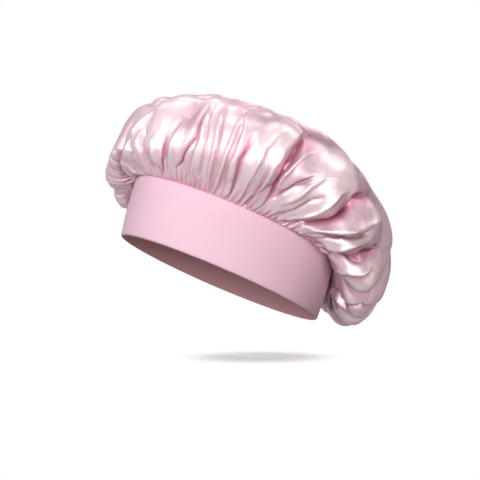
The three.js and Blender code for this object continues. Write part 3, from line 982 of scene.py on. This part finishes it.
def satin_colour(tree, dye, painted_shade):
    """Painted shade: deep pink in the valleys, paler on the crests, a little uneven, and darker again where
    the painted shade mask is.
    """
    # The painted shade of the folds: deep pink in the valleys, pale on the crests
    tone = ramp(tree, marked(tree, "fold_painted_shade"), (0.05, (0.76, 0.35, 0.47)), (0.32, (0.79, 0.52, 0.60)),
                (0.52, (0.80, 0.62, 0.67)), (0.9, (0.82, 0.69, 0.71)))
    # Painted shade multiplied in where the mask is: the hollows, and patches at the nape and far side
    shaded = blended(tree, 'MULTIPLY', painted_shade, tone, (0.50, 0.44, 0.46, 1.0))
    patch = ramp(tree, dye, (0.25, (0.86, 0.82, 0.84)), (0.75, WHITE))
    return blended(tree, 'MULTIPLY', 0.5, shaded, patch)


def satin_relief(tree, place):
    """Soft fine creases with the weave on them."""
    creasing = stretched_noise(tree, place, (16.0, 16.0, 5.0), {"Detail": 2.5, "Roughness": 0.55})
    weave = from_group(tree, GROUPS["yarn_rows"], "Height",
                       {"Yarns Per Metre": 1400.0, "Crossings Per Metre": 500.0})
    return bumped(tree, number(tree, 'MULTIPLY_ADD', weave, 0.01, creasing), 1.0, 0.6)


def satin():
    """Glossy pale pink satin."""
    material, tree, shader = new_material("satin_cloth", (0.82, 0.55, 0.64), {
        "Metallic": 0.62, "Specular IOR Level": 0.4, "Specular Tint": (0.50, 0.36, 0.40, 1.0),
        "Anisotropic": 0.5, "Sheen Weight": 0.15, "Sheen Roughness": 0.4})
    place = marked(tree, "round_and_up", "Vector")
    dye = from_group(tree, GROUPS["uneven_dye"], "Tone", {"Patch Size": 18.0, "Contrast": 1.6})
    # The base colour carries painted shade in the valleys, at the seam, in the hollows and in patches at the
    # nape and far side
    feed(tree, shader.inputs["Base Color"], satin_colour(tree, dye, satin_painted_shade(tree, place)))
    feed(tree, shader.inputs["Roughness"], remap(tree, dye, 0.0, 1.0, 0.36, 0.43))
    feed(tree, shader.inputs["Normal"], satin_relief(tree, place))
    return material


def knit():
    """Matte pink stretch knit; the inner ply, from just past the fold, has painted shade in a warmer, darker
    pink.
    """
    material, tree, shader = new_material("band_knit", (0.92, 0.63, 0.76), {
        "Roughness": 0.82, "Specular IOR Level": 0.25, "Sheen Weight": 0.25, "Sheen Roughness": 0.5})
    dye = from_group(tree, GROUPS["uneven_dye"], "Tone", {"Patch Size": 9.0, "Contrast": 1.0})
    tone = ramp(tree, dye, (0.2, (0.90, 0.605, 0.735)), (0.8, (0.93, 0.645, 0.775)))
    # Painted shade: the inner ply, below this line on the cut, gets a warmer, darker pink than the outer ply
    outer_ply = remap(tree, flat_place(tree)["Y"], 0.060, 0.064)
    colour = blended(tree, 'MIX', outer_ply, (0.95, 0.56, 0.59, 1.0), tone)
    ribs = from_group(tree, GROUPS["yarn_rows"], "Height",
                      {"Yarns Per Metre": 1500.0, "Crossings Per Metre": 1900.0})
    feed(tree, shader.inputs["Base Color"], colour)
    feed(tree, shader.inputs["Normal"], bumped(tree, ribs, 0.08, 0.2))
    return material


def sewing_thread():
    """Matte thread, a little deeper than the cloth."""
    material, tree, shader = new_material("sewing_thread", (0.72, 0.37, 0.48), {"Roughness": 0.6})
    dye = from_group(tree, GROUPS["uneven_dye"], "Tone", {"Patch Size": 400.0, "Contrast": 1.5})
    tone = ramp(tree, dye, (0.2, (0.62, 0.29, 0.40)), (0.8, (0.80, 0.46, 0.56)))
    feed(tree, shader.inputs["Base Color"], tone)
    return material


# The studio

def camera_ways():
    """The camera's right, up and backward directions."""
    az, el, roll = (math.radians(a) for a in (CAMERA_AZIMUTH, CAMERA_ELEVATION, CAMERA_ROLL))
    back = Vector((math.sin(az) * math.cos(el), -math.cos(az) * math.cos(el), math.sin(el)))
    level = Vector((math.cos(az), math.sin(az), 0.0))
    upright = back.cross(level)
    right = level * math.cos(roll) + upright * math.sin(roll)
    up = upright * math.cos(roll) - level * math.sin(roll)
    return right, up, back


def make_camera():
    """The photograph's camera, which sees the rim's centre where the photograph shows it."""
    right, up, back = camera_ways()
    middle = PIXELS_WIDE / 2
    x = (RIM_CENTRE_PIXEL[0] - middle) / FOCAL_PIXELS
    y = -(RIM_CENTRE_PIXEL[1] - middle) / FOCAL_PIXELS
    place = Vector((0, -RIM_SET_FORWARD, 0)) + (back - right * x - up * y) * CAMERA_DISTANCE
    camera = placed_piece("camera", bpy.data.cameras.new("camera"))
    camera.matrix_world = Matrix.Translation(place * MM) @ Matrix((right, up, back)).transposed().to_4x4()
    camera.data.sensor_width = SENSOR_WIDTH
    camera.data.lens = FOCAL_PIXELS / PIXELS_WIDE * SENSOR_WIDTH
    camera.data.clip_start = CAMERA_CLIP_START * MM
    bpy.context.scene.camera = camera


def make_lamps():
    """Square lamps, placed by the camera's directions and turned to the bonnet."""
    for name, (steps, size, power, colour) in LAMPS.items():
        away = sum((way * amount for way, amount in zip(camera_ways(), steps)), Vector())
        lamp = bpy.data.lights.new(name, 'AREA')
        lamp.size, lamp.energy, lamp.color = size, power, colour
        holder = placed_piece(name, lamp)
        holder.location = Vector(LAMP_TARGET) + away
        holder.rotation_euler = away.to_track_quat('Z', 'Y').to_euler()


def seeing_rays(tree):
    """1 for rays that see or mirror the studio, 0 for rays that light things."""
    path = tree.nodes.new('ShaderNodeLightPath').outputs
    either = number(tree, 'MAXIMUM', path["Is Camera Ray"], path["Is Glossy Ray"])
    return number(tree, 'MAXIMUM', either, path["Is Transmission Ray"])


def make_world():
    """White where it is seen or mirrored, and dim where it lights the cloth, warmer from below."""
    world = bpy.data.worlds.new("studio")
    bpy.context.scene.world = world
    world.use_nodes = True
    tree = world.node_tree
    tree.nodes.clear()
    above = tree.nodes.new('ShaderNodeVectorMath')
    above.operation = 'DOT_PRODUCT'
    feed(tree, above.inputs[0], tree.nodes.new('ShaderNodeTexCoord').outputs["Generated"])
    feed(tree, above.inputs[1], camera_ways()[1])
    height = number(tree, 'MULTIPLY_ADD', above.outputs["Value"], 0.5, 0.5)
    shade = ramp(tree, height, (0.25, UNDER_LIGHT), (0.75, OVER_LIGHT))
    lit = fed_node(tree, 'ShaderNodeBackground', {"Color": shade})
    seen = fed_node(tree, 'ShaderNodeBackground', {"Color": (*WHITE, 1)})
    mix = fed_node(tree, 'ShaderNodeMixShader', {"Fac": seeing_rays(tree)})
    feed(tree, mix.inputs[1], lit.outputs[0])
    feed(tree, mix.inputs[2], seen.outputs[0])
    feed(tree, tree.nodes.new('ShaderNodeOutputWorld').inputs["Surface"], mix.outputs[0])


def floor_mesh(centre, right, back):
    """A round disc of rings and spokes."""
    points, faces = [centre], []
    for j in range(1, FLOOR_RINGS + 1):
        for i in range(FLOOR_SPOKES):
            turn = 2 * math.pi * i / FLOOR_SPOKES
            spoke = right * math.cos(turn) + back * math.sin(turn)
            points.append(centre + spoke * FLOOR_RADIUS * MM * j / FLOOR_RINGS)
    for i in range(FLOOR_SPOKES):
        k = (i + 1) % FLOOR_SPOKES
        faces.append((0, 1 + k, 1 + i))
        for a in range(1, 1 + (FLOOR_RINGS - 1) * FLOOR_SPOKES, FLOOR_SPOKES):
            b = a + FLOOR_SPOKES
            faces.append((a + i, a + k, b + k, b + i))
    mesh = bpy.data.meshes.new("floor")
    mesh.from_pydata([tuple(p) for p in points], [], faces)
    return mesh


def pale_floor(centre):
    """Pale under the bonnet, where it takes its shade, and plain white further out."""
    material, tree, shader = new_material("pale_floor", (0.9, 0.9, 0.9), {
        "Roughness": 0.9, "Specular IOR Level": 0.0, "Emission Color": (*WHITE, 1)})
    away = tree.nodes.new('ShaderNodeVectorMath')
    away.operation = 'DISTANCE'
    feed(tree, away.inputs[0], tree.nodes.new('ShaderNodeTexCoord').outputs["Object"])
    feed(tree, away.inputs[1], centre)
    near, far = FLOOR_FADE
    edge = remap(tree, away.outputs["Value"], near * MM, far * MM, way='SMOOTHSTEP')
    glow = number(tree, 'MULTIPLY', seeing_rays(tree), remap(tree, edge, 0.0, 1.0, low=FLOOR_GLOW))
    feed(tree, shader.inputs["Base Color"], ramp(tree, edge, (0.0, (0.9, 0.9, 0.9)), (1.0, BLACK)))
    feed(tree, shader.inputs["Emission Strength"], glow)
    return material


def make_floor():
    """A pale round table top, level in the photograph, under the tilted bonnet."""
    right, up, back = camera_ways()
    tip = math.radians(FLOOR_TIP)
    floor_up = up * math.cos(tip) - back * math.sin(tip)
    floor_back = back * math.cos(tip) + up * math.sin(tip)
    centre = (Vector((0.0, FLOOR_NAPEWARDS, 0.0)) - floor_up * FLOOR_DROP) * MM
    floor = placed_piece("floor", floor_mesh(centre, right, floor_back))
    floor.data.materials.append(pale_floor(centre))


def declare(piece, node):
    """Puts a piece on the one body, and hides the part of model.glb that it stands for."""
    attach(piece, "root")
    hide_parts(node)


GROUPS = {"uneven_dye": uneven_dye(), "yarn_rows": yarn_rows()}

make_camera()
make_lamps()
make_world()
make_floor()

crown = make_crown()
declare(crown, "satin_crown")
band = make_band()
declare(band, "knit_band")
thread = sewing_thread()
lacing = make_overlock(thread)
declare(lacing, "overlock_thread")
stitches = make_nape_stitches(thread)
declare(stitches, "nape_join_thread")

bpy.context.scene.view_settings.view_transform = 'Standard'
